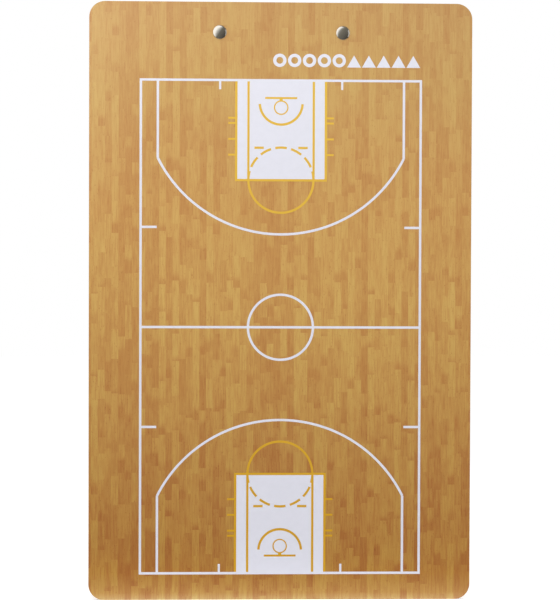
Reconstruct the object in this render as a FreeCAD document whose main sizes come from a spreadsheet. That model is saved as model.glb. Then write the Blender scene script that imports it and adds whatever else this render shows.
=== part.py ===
import FreeCAD, Part

import math
import os
from enum import IntEnum
from types import SimpleNamespace

import Sketcher
from FreeCAD import Vector

# A coach's tactics board: a hardboard sheet with a printed film on each face and a sprung steel clip
# riveted near the top edge. X runs across the board, Z up it and Y through it. The full-court face
# looks along -Y, the clip sits on the +Y face, and the origin is the middle of the bottom edge.
# The clip's own drawings are in (Y, Z) pairs measured from its pin, or from the film under its pin.

# Name, millimetres or degrees, and what it measures
SIZES = (
    ("board_width", 224.0, "board, side to side"),
    ("board_height", 350.0, "board, bottom to top"),
    ("corner_radius", 9.2, "board, rounding of its corners"),
    ("core_thickness", 3.0, "hardboard core"),
    ("film_thickness", 0.25, "printed film on each face"),
    ("rivet_pitch", 72.0, "rivets, centre to centre"),
    ("rivet_drop", 17.6, "rivets, below the board's top edge"),
    ("rivet_head_diameter", 8.1, "domed head"),
    ("rivet_head_height", 1.9, "domed head"),
    ("rivet_head_edge", 0.35, "head, straight rim under the dome"),
    ("rivet_shank_diameter", 4.0, "shank"),
    ("rivet_roll_diameter", 6.2, "rolled end, over its outside"),
    ("rivet_bore_diameter", 2.2, "hollow of the rolled end"),
    ("rivet_bore_depth", 2.6, "hollow, below the base plate's face"),
    ("rivet_hole_clearance", 0.05, "around the shank, on the radius"),
    ("clip_width", 112.0, "lever, over its two ears"),
    ("pin_below_rivets", 11.0, "pin, below the rivets' line"),
    ("pin_height", 7.2, "pin, above the film"),
    ("pin_diameter", 3.0, "hinge pin"),
    ("pin_seat_clearance", 0.02, "pin in the base plate's ears, on the radius"),
    ("pin_running_clearance", 0.06, "pin in the lever's ears, on the radius"),
    ("pin_head_diameter", 5.2, "formed heads of the pin"),
    ("pin_head_height", 1.2, "formed heads of the pin"),
    ("pin_head_gap", 0.2, "between a pin head and the lever's ear"),
    ("base_sheet", 1.0, "base plate, thickness of its steel"),
    ("base_front", 4.5, "base plate, from the pin to its front edge"),
    ("base_ear_back", 7.5, "base plate, from the pin to the back of its ears"),
    ("base_shoulder", 3.0, "base plate, length of its slanting shoulders"),
    ("base_tail_width", 94.0, "base plate behind its shoulders"),
    ("base_tail", 24.5, "base plate, from the pin to its back edge"),
    ("base_tail_round", 7.0, "base plate, back corners"),
    ("base_shoulder_round", 4.0, "base plate, hollow of its shoulders"),
    ("base_ear_radius", 3.8, "base plate's ears, around the pin"),
    ("base_bend", 0.4, "base plate, inside of the bend under its ears"),
    ("ear_side_gap", 0.25, "between the lever's ears and the base plate's"),
    ("lever_sheet", 0.9, "lever, thickness of its steel"),
    ("crown_radius", 4.3, "lever, inside of the crown over the pin"),
    ("jaw_slope", 28.0, "jaw, degrees from the board"),
    ("toe_bend", 2.0, "jaw, hollow of the bend above its toe"),
    ("toe_length", 4.5, "jaw's flat toe"),
    ("jaw_gap", 0.3, "closed jaw, between the grips and the film"),
    ("thumb_rise", 8.0, "thumb tab, degrees from the board"),
    ("thumb_length", 18.5, "thumb tab, straight part from the crown"),
    ("curl_radius", 2.2, "thumb tab, inside of its curled edge"),
    ("curl_turn", 75.0, "thumb tab, degrees that the edge curls"),
    ("thumb_width", 62.0, "thumb tab, side to side"),
    ("thumb_round", 12.0, "thumb tab, corners"),
    ("shoulder_reach", 6.5, "lever, from the pin to its shoulders"),
    ("shoulder_round", 5.0, "lever, hollow beside the thumb tab"),
    ("trim_margin", 0.05, "thumb tab, from its edge to the top of its corner arcs"),
    ("hang_hole_diameter", 8.0, "hang hole in the thumb tab"),
    ("hang_hole_reach", 12.5, "hang hole, along the thumb tab from the crown"),
    ("lever_ear_radius", 4.1, "lever's ears, around the pin"),
    ("lever_ear_front", 5.0, "lever's ears, root along the jaw"),
    ("lever_ear_back", 4.0, "lever's ears, root along the thumb tab"),
    ("lever_edge_round", 0.5, "lever, outer edge of its sides"),
    ("grip_width", 18.0, "rubber grip, length along the lip"),
    ("grip_wall", 0.8, "rubber grip, thickness"),
    ("grip_setback", 0.4, "rubber grip, from the bend above the toe"),
    ("grip_round", 0.6, "rubber grip, corners"),
    ("wire_diameter", 1.2, "spring wire"),
    ("coil_clearance", 0.35, "between the pin and the springs, on the radius"),
    ("coil_pitch", 1.75, "springs, turn to turn"),
    ("coil_inset", 13.5, "springs, from the middle of the clip to the first turn"),
    ("spring_leg", 13.0, "springs, straight legs"),
    ("spring_leg_clearance", 0.1, "between a spring's leg and the plate that it bears on"),
    ("overrun", 2.0, "cuts, past the material"),
)
COIL_FULL_TURNS = 7
GAP_SAMPLES_PER_TURN = 48
LEAST_COIL_GAP = 0.4
FULL_TURN = 360.0
QUARTER_TURN = 90.0
NEAR = 1e-6
# How a sketch numbers the points of an item, and its own two axes
START, END, CENTRE = IntEnum("Point", "START END CENTRE")
UPWARD, ACROSS = IntEnum("Axis", {"UPWARD": -2, "ACROSS": -1})
ORIGIN = (ACROSS, START)


class Size:
    """A number from the sheet, or worked out from such numbers, with the formula that gives it."""

    def __init__(self, value, formula):
        self.value = value
        self.formula = formula

    def __add__(self, other):
        return Size(self.value + other.value, f"({self.formula} + {other.formula})")

    def __sub__(self, other):
        return Size(self.value - other.value, f"({self.formula} - {other.formula})")

    def __mul__(self, other):
        return Size(self.value * other.value, f"({self.formula} * {other.formula})")

    def __truediv__(self, count):
        return Size(self.value / count, f"({self.formula} / {count})")

    def __neg__(self):
        return Size(-self.value, f"(-{self.formula})")


NIL = Size(0.0, "0")
RIGHT_ANGLE = Size(QUARTER_TURN, "90")


def sine(angle):
    return Size(math.sin(math.radians(angle.value)), f"sin({angle.formula})")


def cosine(angle):
    return Size(math.cos(math.radians(angle.value)), f"cos({angle.formula})")


def fill_sheet(doc):
    """Write the driving sizes into the document's sheet, and return them by name."""
    sheet = doc.addObject("Spreadsheet::Sheet", "sizes")
    for row, (name, value, meaning) in enumerate(SIZES, start=1):
        sheet.set(f"A{row}", meaning)
        sheet.set(f"B{row}", str(value))
        sheet.setAlias(f"B{row}", name)
    doc.recompute()
    return SimpleNamespace(**{name: Size(float(sheet.get(name)), f"sizes.{name}") for name, _, _ in SIZES})


def derive(size):
    """Add the places that several pieces share."""
    size.face = size.core_thickness / 2 + size.film_thickness
    size.rivet_line = size.board_height - size.rivet_drop
    size.pin_line = size.rivet_line - size.pin_below_rivets
    size.pin_out = size.face + size.pin_height
    size.pin_radius = size.pin_diameter / 2
    size.rivet_hole = size.rivet_shank_diameter / 2 + size.rivet_hole_clearance
    size.ear_outside = size.clip_width / 2 - size.lever_sheet - size.ear_side_gap
    size.toe_inside = size.jaw_gap + size.grip_wall - size.pin_height
    # Where the toe's bend is centred follows from its height and the slope that leads down to it
    size.toe_bend_out = size.toe_inside + size.lever_sheet + size.toe_bend
    span = size.crown_radius + size.lever_sheet + size.toe_bend
    drop = span * cosine(size.jaw_slope) - size.toe_bend_out
    run = Size(1 / math.tan(math.radians(size.jaw_slope.value)), f"(1 / tan({size.jaw_slope.formula}))")
    size.toe_bend_up = -(span * sine(size.jaw_slope)) - drop * run
    return size


class Outline:
    """A sketch on one of its body's own planes, with its points and radii tied to the sheet."""

    def __init__(self, body, name, plane, height=None):
        """The plane is the role of one of the body's origin planes, or a feature and its face's name."""
        support = (origin_plane(body, plane), "") if isinstance(plane, str) else plane
        self.sketch = body.newObject("Sketcher::SketchObject", name)
        self.sketch.AttachmentSupport = [support]
        self.sketch.MapMode = "FlatFace"
        if height is not None:
            self.sketch.setExpression("AttachmentOffset.Base.z", height.formula)

    def join(self, kind, *where):
        return self.sketch.addConstraint(Sketcher.Constraint(kind, *where))

    def tie(self, kind, *where_and_size):
        """Add a dimension whose value is the formula of the size given last."""
        *where, size = where_and_size
        value = math.radians(size.value) if kind == "Angle" else size.value
        index = self.sketch.addConstraint(Sketcher.Constraint(kind, *where, value))
        self.sketch.setExpression(f"Constraints[{index}]", size.formula)

    def place(self, item, end, across=None, upward=None):
        """Tie one point's distances from the origin, whichever are given."""
        for kind, axis, size in (("DistanceX", UPWARD, across), ("DistanceY", ACROSS, upward)):
            if size is NIL:
                self.join("PointOnObject", item, end, axis)
            elif size is not None and size.value < 0:
                self.tie(kind, item, end, *ORIGIN, -size)
            elif size is not None:
                self.tie(kind, *ORIGIN, item, end, size)

    def line(self, start, end):
        return self.sketch.addGeometry(Part.LineSegment(start, end), False)

    def arc(self, centre, radius, first, last):
        """An arc from one angle, in radians, counter-clockwise to another."""
        circle = Part.Circle(centre, Vector(0, 0, 1), radius)
        return self.sketch.addGeometry(Part.ArcOfCircle(circle, first, last), False)

    def circle(self, across, upward, radius):
        centre = Vector(across.value, upward.value, 0)
        item = self.sketch.addGeometry(Part.Circle(centre, Vector(0, 0, 1), radius.value), False)
        self.tie("Radius", item, radius)
        self.place(item, CENTRE, across, upward)

    def along(self, direction, distance):
        """The place at a distance from the origin along a direction that one of the sketch's axes follows."""
        turn = self.sketch.Placement.Rotation
        leans = [turn.multVec(axis).dot(direction) for axis in (Vector(1, 0, 0), Vector(0, 1, 0))]
        return [NIL if abs(lean) < NEAR else distance if lean > 0 else -distance for lean in leans]

    def rounded(self, corners, radii):
        """A closed outline of straight sides, each corner rounded by its radius or left sharp by None."""
        points = [Vector(across.value, upward.value, 0) for across, upward in corners]
        onward = points[1:] + points[:1]
        rounds = [round_off(points[i - 1], points[i], onward[i], radius) for i, radius in enumerate(radii)]
        sides = [self.line(a.leave, b.arrive) for a, b in zip(rounds, rounds[1:] + rounds[:1])]
        for i, (across, upward) in enumerate(corners):
            before, after, turn = sides[i - 1], sides[i], rounds[i]
            if radii[i] is None:
                self.join("Coincident", before, END, after, START)
                self.place(after, START, across, upward)
                continue
            corner = self.sketch.addGeometry(Part.Point(points[i]), True)
            self.place(corner, START, across, upward)
            self.join("PointOnObject", corner, START, before)
            self.join("PointOnObject", corner, START, after)
            bend = self.arc(turn.centre, radii[i].value, turn.first, turn.last)
            arrive, leave = (START, END) if turn.leftward else (END, START)
            self.join("Tangent", before, END, bend, arrive)
            self.join("Tangent", bend, leave, after, START)
            self.tie("Radius", bend, radii[i])

    def eared(self, corners, centre, radius):
        """Straight sides through the corners, closed by two tangents to an arc around the centre."""
        points = [Vector(across.value, upward.value, 0) for across, upward in corners]
        middle = Vector(centre[0].value, centre[1].value, 0)
        first = tangent_angle(points[-1], middle, radius.value, 1)
        last = tangent_angle(points[0], middle, radius.value, -1)
        boss = self.arc(middle, radius.value, first, last)
        self.place(boss, CENTRE, *centre)
        self.tie("Radius", boss, radius)
        arrive = middle + Vector(math.cos(first), math.sin(first), 0) * radius.value
        leave = middle + Vector(math.cos(last), math.sin(last), 0) * radius.value
        path = [leave, *points, arrive]
        sides = [self.line(start, end) for start, end in zip(path, path[1:])]
        self.join("Tangent", boss, END, sides[0], START)
        self.join("Tangent", sides[-1], END, boss, START)
        for before, after, corner in zip(sides, sides[1:], corners):
            self.join("Coincident", before, END, after, START)
            self.place(after, START, *corner)

    def quarter_bend(self, centre, inside, outside):
        """The section of a sheet bent a quarter turn, from below the centre to its right."""
        middle = Vector(centre[0].value, centre[1].value, 0)
        down, right = Vector(0, -1, 0), Vector(1, 0, 0)
        arcs = [self.arc(middle, radius.value, -math.pi / 2, 0) for radius in (inside, outside)]
        for arc, radius in zip(arcs, (inside, outside)):
            self.tie("Radius", arc, radius)
            self.place(arc, CENTRE, *centre)
        for end, direction, level in ((START, down, "Vertical"), (END, right, "Horizontal")):
            edge = self.line(middle + direction * inside.value, middle + direction * outside.value)
            self.join("Coincident", edge, START, arcs[0], end)
            self.join("Coincident", edge, END, arcs[1], end)
            self.join(level, edge)
            self.join("PointOnObject", arcs[0], CENTRE, edge)

    def turned(self, corners):
        """Half of a turned piece. A corner where a dome begins also says where the dome's centre lies."""
        points = [Vector(across.value, upward.value, 0) for across, upward, *_ in corners]
        items = []
        for start, end, (_, _, *seat) in zip(points, points[1:] + points[:1], corners):
            items.append(self.dome(start, end, *seat) if seat else self.line(start, end))
        for i, (across, upward, *_) in enumerate(corners):
            self.join("Coincident", items[i - 1], END, items[i], START)
            self.place(items[i], START, across, upward)

    def dome(self, start, end, across, upward):
        """An arc counter-clockwise from start to end, centred on the line that across or upward gives."""
        middle = (start + end) / 2
        chord = end - start
        if across is not None:
            up = middle.y - (across.value - middle.x) * chord.x / chord.y
            centre = Vector(across.value, up, 0)
        else:
            centre = Vector(middle.x - (upward.value - middle.y) * chord.y / chord.x, upward.value, 0)
        angles = [math.atan2(p.y - centre.y, p.x - centre.x) for p in (start, end)]
        item = self.arc(centre, (start - centre).Length, *angles)
        self.place(item, CENTRE, across, upward)
        return item


def round_off(before, corner, after, radius):
    """Where a rounded corner begins and ends, its centre and its angles."""
    if radius is None:
        return SimpleNamespace(arrive=corner, leave=corner)
    back = (before - corner).normalize()
    on = (after - corner).normalize()
    half = back.getAngle(on) / 2
    trim = radius.value / math.tan(half)
    arrive = corner + back * trim
    leave = corner + on * trim
    centre = corner + (back + on).normalize() * (radius.value / math.sin(half))
    leftward = (corner - before).cross(after - corner).z > 0
    ends = (arrive, leave) if leftward else (leave, arrive)
    first, last = (math.atan2(p.y - centre.y, p.x - centre.x) for p in ends)
    turn = {"centre": centre, "first": first, "last": last, "leftward": leftward}
    return SimpleNamespace(arrive=arrive, leave=leave, **turn)


def tangent_angle(point, centre, radius, side):
    """The angle at which a circle meets the tangent from a point, on one side or the other."""
    away = point - centre
    return math.atan2(away.y, away.x) + side * math.acos(radius / away.Length)


def origin_plane(body, role):
    return next(plane for plane in body.Origin.OriginFeatures if plane.Role == role)


def flat_face(feature, facing, height):
    """The name of the flat face that looks along a direction, at a height above the feature's origin."""
    for i, face in enumerate(feature.Shape.Faces, start=1):
        level = math.isclose(face.CenterOfMass.dot(facing), height.value, abs_tol=NEAR)
        if level and face.Surface.TypeId == "Part::GeomPlane" and face.normalAt(0, 0).isEqual(facing, NEAR):
            return f"Face{i}"
    raise RuntimeError(f"{feature.Name} has no such face")


def new_body(doc, name, across=NIL, out=NIL, up=NIL):
    """A body with its own Label, moved to its place in the board's frame."""
    body = doc.addObject("PartDesign::Body", name)
    body.Label = name
    for axis, size in (("x", across), ("y", out), ("z", up)):
        body.setExpression(f"Placement.Base.{axis}", size.formula)
    return body


def pad(body, name, outline, length, reverse=False, symmetric=False):
    feature = body.newObject("PartDesign::Pad", name)
    feature.Profile = outline.sketch
    feature.setExpression("Length", length.formula)
    feature.Reversed = reverse
    feature.SideType = "Symmetric" if symmetric else "One side"
    body.Document.recompute()
    return feature


def cut(body, name, outline, length=None, reverse=False):
    """A pocket of the given length, or right through both ways. It has to take material away."""
    before = body.Shape.Volume
    feature = body.newObject("PartDesign::Pocket", name)
    feature.Profile = outline.sketch
    if length is None:
        feature.Type = "ThroughAll"
        feature.SideType = "Symmetric"
    else:
        feature.setExpression("Length", length.formula)
        feature.Reversed = reverse
    body.Document.recompute()
    if body.Shape.Volume >= before:
        raise RuntimeError(f"{name} cuts nothing")
    return feature


def mirror(body, name, features):
    """Repeat features on the other side of the board's middle plane."""
    feature = body.newObject("PartDesign::Mirrored", name)
    feature.Originals = features
    feature.MirrorPlane = (origin_plane(body, "YZ_Plane"), [""])
    body.Tip = feature
    body.Document.recompute()
    return feature


def revolve(body, name, outline, axis):
    feature = body.newObject("PartDesign::Revolution", name)
    feature.Profile = outline.sketch
    feature.ReferenceAxis = (outline.sketch, [axis])
    feature.Angle = FULL_TURN
    body.Document.recompute()
    return feature


def fillet(body, name, base, radius, wanted):
    """Round the edges of a feature that the given test picks out."""
    names = [f"Edge{i}" for i, edge in enumerate(base.Shape.Edges, start=1) if wanted(edge)]
    if not names:
        raise RuntimeError(f"{name} finds no edge")
    feature = body.newObject("PartDesign::Fillet", name)
    feature.Base = (base, names)
    feature.setExpression("Radius", radius.formula)
    body.Document.recompute()
    return feature


def board_layer(doc, size, name, thickness, back):
    """One layer of the board, drilled for the rivets, with its back at the given Y."""
    body = new_body(doc, name, out=back)
    outline = Outline(body, f"{name}_outline", "XZ_Plane")
    half = size.board_width / 2
    corners = [(-half, NIL), (half, NIL), (half, size.board_height), (-half, size.board_height)]
    outline.rounded(corners, [size.corner_radius] * len(corners))
    for place in (-size.rivet_pitch / 2, size.rivet_pitch / 2):
        outline.circle(place, size.rivet_line, size.rivet_hole)
    pad(body, f"{name}_sheet", outline, thickness)
    return body


def rivet(doc, size, name, across):
    """A semi-tubular rivet, its domed head on the full-court face and its end rolled on the base plate."""
    body = new_body(doc, name, across=across, out=-size.face, up=size.rivet_line)
    outline = Outline(body, f"{name}_profile", "XY_Plane")
    head = size.rivet_head_diameter / 2
    shank = size.rivet_shank_diameter / 2
    roll = size.rivet_roll_diameter / 2
    bore = size.rivet_bore_diameter / 2
    grip = size.face + size.face + size.base_sheet
    floor = grip - size.rivet_bore_depth
    corners = [
        (NIL, -size.rivet_head_height, NIL, None),
        (head, -size.rivet_head_edge),
        (head, NIL),
        (shank, NIL),
        (shank, grip),
        (roll, grip, None, grip),
        (bore, grip),
        (bore, floor),
        (NIL, floor - bore),
    ]
    outline.turned(corners)
    revolve(body, f"{name}_turning", outline, "V_Axis")
    return body


def clip_base_plate(doc, size):
    """The plate under the clip, with an ear bent up at each end to carry the pin."""
    body = new_body(doc, "clip_base_plate", out=size.face, up=size.pin_line)
    plan = Outline(body, "base_plan", "XZ_Plane")
    outside_bend = size.base_bend + size.base_sheet
    flat = size.ear_outside - outside_bend
    tail = size.base_tail_width / 2
    neck = size.base_ear_back + size.base_shoulder
    right = [(flat, -size.base_front), (flat, size.base_ear_back), (tail, neck), (tail, size.base_tail)]
    radii = [None, None, size.base_shoulder_round, size.base_tail_round]
    left = [(-across, upward) for across, upward in reversed(right)]
    plan.rounded(right + left, radii + radii[::-1])
    for place in (-size.rivet_pitch / 2, size.rivet_pitch / 2):
        plan.circle(place, size.pin_below_rivets, size.rivet_hole)
    pad(body, "base_flat", plan, size.base_sheet, reverse=True)
    corner = Outline(body, "base_bend_section", "XY_Plane", -size.base_front)
    corner.quarter_bend((flat, outside_bend), size.base_bend, outside_bend)
    bend = pad(body, "base_bend", corner, size.base_front + size.base_ear_back)
    side = Outline(body, "base_ear_outline", "YZ_Plane", size.ear_outside)
    root = [(outside_bend, size.base_ear_back), (outside_bend, -size.base_front)]
    side.eared(root, (size.pin_height, NIL), size.base_ear_radius)
    ear = pad(body, "base_ear", side, size.base_sheet, reverse=True)
    mirror(body, "base_ears", [bend, ear])
    holes = Outline(body, "base_pin_hole", "YZ_Plane")
    holes.circle(size.pin_height, NIL, size.pin_radius + size.pin_seat_clearance)
    cut(body, "base_pin_holes", holes)
    return body


def lever_section(body, size):
    """The lever's bent strip from the side: toe, jaw, crown, thumb tab and curled edge, all one thickness."""
    section = Outline(body, "lever_section", "YZ_Plane")
    slope, rise, turn = (math.radians(a.value) for a in (size.jaw_slope, size.thumb_rise, size.curl_turn))
    sheet = size.lever_sheet
    bend_centre = Vector(size.toe_bend_out.value, size.toe_bend_up.value, 0)
    jaw_out = Vector(math.cos(slope), -math.sin(slope), 0)
    thumb_out = Vector(math.cos(rise), -math.sin(rise), 0)
    thumb_along = Vector(math.sin(rise), math.cos(rise), 0)
    thumb_end = thumb_out * size.crown_radius.value + thumb_along * size.thumb_length.value
    curl_centre = thumb_end - thumb_out * size.curl_radius.value
    toe_tip = bend_centre.y - size.toe_length.value
    faces = []
    for bend, crown, curl in (
        (size.toe_bend + sheet, size.crown_radius, size.curl_radius),
        (size.toe_bend, size.crown_radius + sheet, size.curl_radius + sheet),
    ):
        toe_x = bend_centre.x - bend.value
        toe = section.line(Vector(toe_x, toe_tip, 0), Vector(toe_x, bend_centre.y, 0))
        toe_arc = section.arc(bend_centre, bend.value, math.pi - slope, math.pi)
        jaw = section.line(bend_centre - jaw_out * bend.value, jaw_out * crown.value)
        crown_arc = section.arc(Vector(), crown.value, -slope, -rise)
        thumb = section.line(thumb_out * crown.value, curl_centre + thumb_out * curl.value)
        curl_arc = section.arc(curl_centre, curl.value, -rise, turn - rise)
        section.join("Tangent", toe, END, toe_arc, END)
        section.join("Tangent", toe_arc, START, jaw, START)
        section.join("Tangent", jaw, END, crown_arc, START)
        section.join("Tangent", crown_arc, END, thumb, START)
        section.join("Tangent", thumb, END, curl_arc, START)
        section.join("Vertical", toe)
        section.join("Coincident", crown_arc, CENTRE, *ORIGIN)
        for arc, radius in ((toe_arc, bend), (crown_arc, crown), (curl_arc, curl)):
            section.tie("Radius", arc, radius)
        faces.append(SimpleNamespace(toe=toe, bend=toe_arc, jaw=jaw, thumb=thumb, curl=curl_arc))
    inner, outer = faces
    section.join("Coincident", inner.bend, CENTRE, outer.bend, CENTRE)
    section.join("Coincident", inner.curl, CENTRE, outer.curl, CENTRE)
    section.tie("Angle", inner.jaw, RIGHT_ANGLE - size.jaw_slope)
    section.tie("Angle", inner.thumb, RIGHT_ANGLE - size.thumb_rise)
    section.place(inner.toe, START, across=size.toe_inside)
    section.tie("DistanceY", inner.toe, START, inner.toe, END, size.toe_length)
    section.tie("Distance", inner.thumb, START, inner.thumb, END, size.thumb_length)
    outer_x = bend_centre.x - size.toe_bend.value
    tip = section.line(Vector(size.toe_inside.value, toe_tip, 0), Vector(outer_x, toe_tip, 0))
    section.join("Coincident", tip, START, inner.toe, START)
    section.join("Coincident", tip, END, outer.toe, START)
    section.join("Horizontal", tip)
    edge_out = Vector(math.cos(turn - rise), math.sin(turn - rise), 0)
    curl_inside = curl_centre + edge_out * size.curl_radius.value
    edge = section.line(curl_inside, curl_inside + edge_out * sheet.value)
    section.join("Coincident", edge, START, inner.curl, END)
    section.join("Coincident", edge, END, outer.curl, END)
    section.join("PointOnObject", inner.curl, CENTRE, edge)
    section.tie("Angle", edge, size.curl_turn - size.thumb_rise)
    return section


def clip_lever(doc, size):
    """The stamped lever: a sprung jaw on one side of the pin and a thumb tab on the other."""
    body = new_body(doc, "clip_lever", out=size.pin_out, up=size.pin_line)
    pad(body, "lever_strip", lever_section(body, size), size.clip_width, symmetric=True)
    half = size.clip_width / 2
    tab = size.thumb_width / 2
    edge_angle = size.curl_turn - size.thumb_rise
    set_in = size.crown_radius - size.curl_radius
    curl_up = size.thumb_length * cosine(size.thumb_rise) - set_in * sine(size.thumb_rise)
    top = curl_up + (size.curl_radius + size.lever_sheet) * sine(edge_angle) + size.trim_margin
    beside = Outline(body, "lever_beside_tab", "XZ_Plane")
    beyond = half + size.overrun
    within = tab - size.thumb_round - size.overrun
    above = top + size.overrun
    corners = [
        (tab, size.shoulder_reach),
        (beyond, size.shoulder_reach),
        (beyond, above),
        (within, above),
        (within, top),
        (tab, top),
    ]
    beside.rounded(corners, [size.shoulder_round, None, None, None, None, size.thumb_round])
    notch = cut(body, "lever_notch", beside)
    middle = size.crown_radius + size.lever_sheet / 2
    crown_front = (middle * cosine(size.jaw_slope), -(middle * sine(size.jaw_slope)))
    crown_back = (middle * cosine(size.thumb_rise), -(middle * sine(size.thumb_rise)))
    root = [
        (
            crown_front[0] - size.lever_ear_front * sine(size.jaw_slope),
            crown_front[1] - size.lever_ear_front * cosine(size.jaw_slope),
        ),
        crown_front,
        crown_back,
        (
            crown_back[0] + size.lever_ear_back * sine(size.thumb_rise),
            crown_back[1] + size.lever_ear_back * cosine(size.thumb_rise),
        ),
    ]
    side = Outline(body, "lever_ear_outline", "YZ_Plane", half)
    side.eared(root, (NIL, NIL), size.lever_ear_radius)
    ear = pad(body, "lever_ear", side, size.lever_sheet, reverse=True)
    mirror(body, "lever_sides", [notch, ear])
    holes = Outline(body, "lever_pin_hole", "YZ_Plane")
    holes.circle(NIL, NIL, size.pin_radius + size.pin_running_clearance)
    drilled = cut(body, "lever_pin_holes", holes)
    outside = size.crown_radius + size.lever_sheet
    jaw_out = Vector(0, cosine(size.jaw_slope).value, -sine(size.jaw_slope).value)
    thumb_out = Vector(0, cosine(size.thumb_rise).value, -sine(size.thumb_rise).value)
    thumb_along = Vector(0, sine(size.thumb_rise).value, cosine(size.thumb_rise).value)
    hanger = Outline(body, "hang_hole_outline", (drilled, flat_face(drilled, thumb_out, outside)))
    doc.recompute()
    hanger.circle(*hanger.along(thumb_along, size.hang_hole_reach), size.hang_hole_diameter / 2)
    punched = cut(body, "hang_hole", hanger)

    def on_outer_side(edge):
        """Whether an edge runs along the lever's outer face at one of its two sides."""
        points = edge.discretize(Number=3)
        at_side = all(math.isclose(abs(p.x), half.value, abs_tol=NEAR) for p in points)
        heights = ([p.dot(out) for p in points] for out in (jaw_out, thumb_out))
        crown = [math.hypot(p.y, p.z) for p in points]
        return at_side and any(
            all(math.isclose(h, outside.value, abs_tol=NEAR) for h in row) for row in (*heights, crown)
        )

    fillet(body, "lever_side_edges", punched, size.lever_edge_round, on_outer_side)
    return body


def hinge_pin(doc, size):
    """The pin through both pairs of ears, with a formed head at each end."""
    body = new_body(doc, "hinge_pin", out=size.pin_out, up=size.pin_line)
    outline = Outline(body, "pin_profile", "XY_Plane")
    reach = size.clip_width / 2 + size.pin_head_gap
    head = size.pin_head_diameter / 2
    crest = reach + size.pin_head_height
    corners = [
        (crest, NIL, None, NIL),
        (reach, head),
        (reach, size.pin_radius),
        (-reach, size.pin_radius),
        (-reach, head, None, NIL),
        (-crest, NIL),
    ]
    outline.turned(corners)
    revolve(body, "pin_turning", outline, "H_Axis")
    return body


def jaw_grip(doc, size, name, side):
    """A rubber shoe over one corner of the jaw's toe, closed at its outer end."""
    body = new_body(doc, name, out=size.pin_out, up=size.pin_line)
    half = size.clip_width / 2
    outer_end = half + size.grip_wall
    mouth = size.toe_bend_up - size.grip_setback
    toe_tip = size.toe_bend_up - size.toe_length
    toe_outside = size.toe_inside + size.lever_sheet
    low, high = size.toe_inside - size.grip_wall, toe_outside + size.grip_wall
    shoe = Outline(body, f"{name}_outline", "YZ_Plane", outer_end if side > 0 else -outer_end)
    tip = toe_tip - size.grip_wall
    shoe.rounded(
        [(low, tip), (high, tip), (high, mouth), (low, mouth)],
        [size.grip_round, size.grip_round, None, None],
    )
    pad(body, f"{name}_block", shoe, size.grip_width + size.grip_wall, reverse=side > 0)
    slot = Outline(body, f"{name}_slot_outline", "YZ_Plane", half if side > 0 else -half)
    ahead = mouth + size.overrun
    corners = [
        (size.toe_inside, toe_tip),
        (toe_outside, toe_tip),
        (toe_outside, ahead),
        (size.toe_inside, ahead),
    ]
    slot.rounded(corners, [None] * len(corners))
    cut(body, f"{name}_slot", slot, size.grip_width + size.overrun, reverse=side < 0)
    return body


def arc_edge(start, along, end):
    """A circular arc that leaves start along a direction and ends at end."""
    chord = end - start
    inward = (chord - along * chord.dot(along)).normalize()
    radius = chord.dot(chord) / (2 * chord.dot(inward))
    centre = start + inward * radius
    crest = centre + ((start - centre) + (end - centre)).normalize() * radius
    return Part.Arc(start, crest, end).toShape(), radius


def biarc(start, along, end, onward):
    """Two arcs that join start and end smoothly, along the two directions given."""
    chord = end - start
    both = along + onward
    spread = 2 * (1 - along.dot(onward))
    reach = (math.sqrt(chord.dot(both) ** 2 + spread * chord.dot(chord)) - chord.dot(both)) / spread
    joint = (start + end + (along - onward) * reach) / 2
    first, first_radius = arc_edge(start, along, joint)
    second, second_radius = arc_edge(end, -onward, joint)
    return [first, second.reversed()], min(first_radius, second_radius)


def leg_angle(offset, leg, height):
    """The angle at which a leg that starts on a circle of radius offset ends at the height, in radians."""
    return math.asin(height / math.hypot(offset, leg)) - math.atan2(offset, leg)


def spring_path(size, side):
    """The middle line of one torsion spring: points and directions at each step, legs included."""
    wire = size.wire_diameter.value
    radius = size.pin_radius.value + size.coil_clearance.value + wire / 2
    pitch = size.coil_pitch.value
    climb = pitch / (2 * math.pi)
    lean = math.hypot(radius, climb)
    leg = size.spring_leg.value
    leg_in_plane = leg * radius / lean
    rest = wire / 2 + size.spring_leg_clearance.value
    base_angle = leg_angle(radius, leg_in_plane, size.pin_height.value - size.base_sheet.value - rest)
    thumb_angle = leg_angle(radius, leg_in_plane, size.crown_radius.value - rest)
    first = 3 * math.pi / 2 - base_angle
    last = math.pi / 2 + math.radians(size.thumb_rise.value) + thumb_angle - 2 * math.pi * COIL_FULL_TURNS

    def at(angle):
        along = size.coil_inset.value + climb * (first - angle)
        point = Vector(side * along, radius * math.sin(angle), radius * math.cos(angle))
        direction = Vector(side * climb, -radius * math.cos(angle), radius * math.sin(angle)).normalize()
        return point, direction

    return SimpleNamespace(at=at, first=first, last=last, leg=leg, wire=wire)


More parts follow.
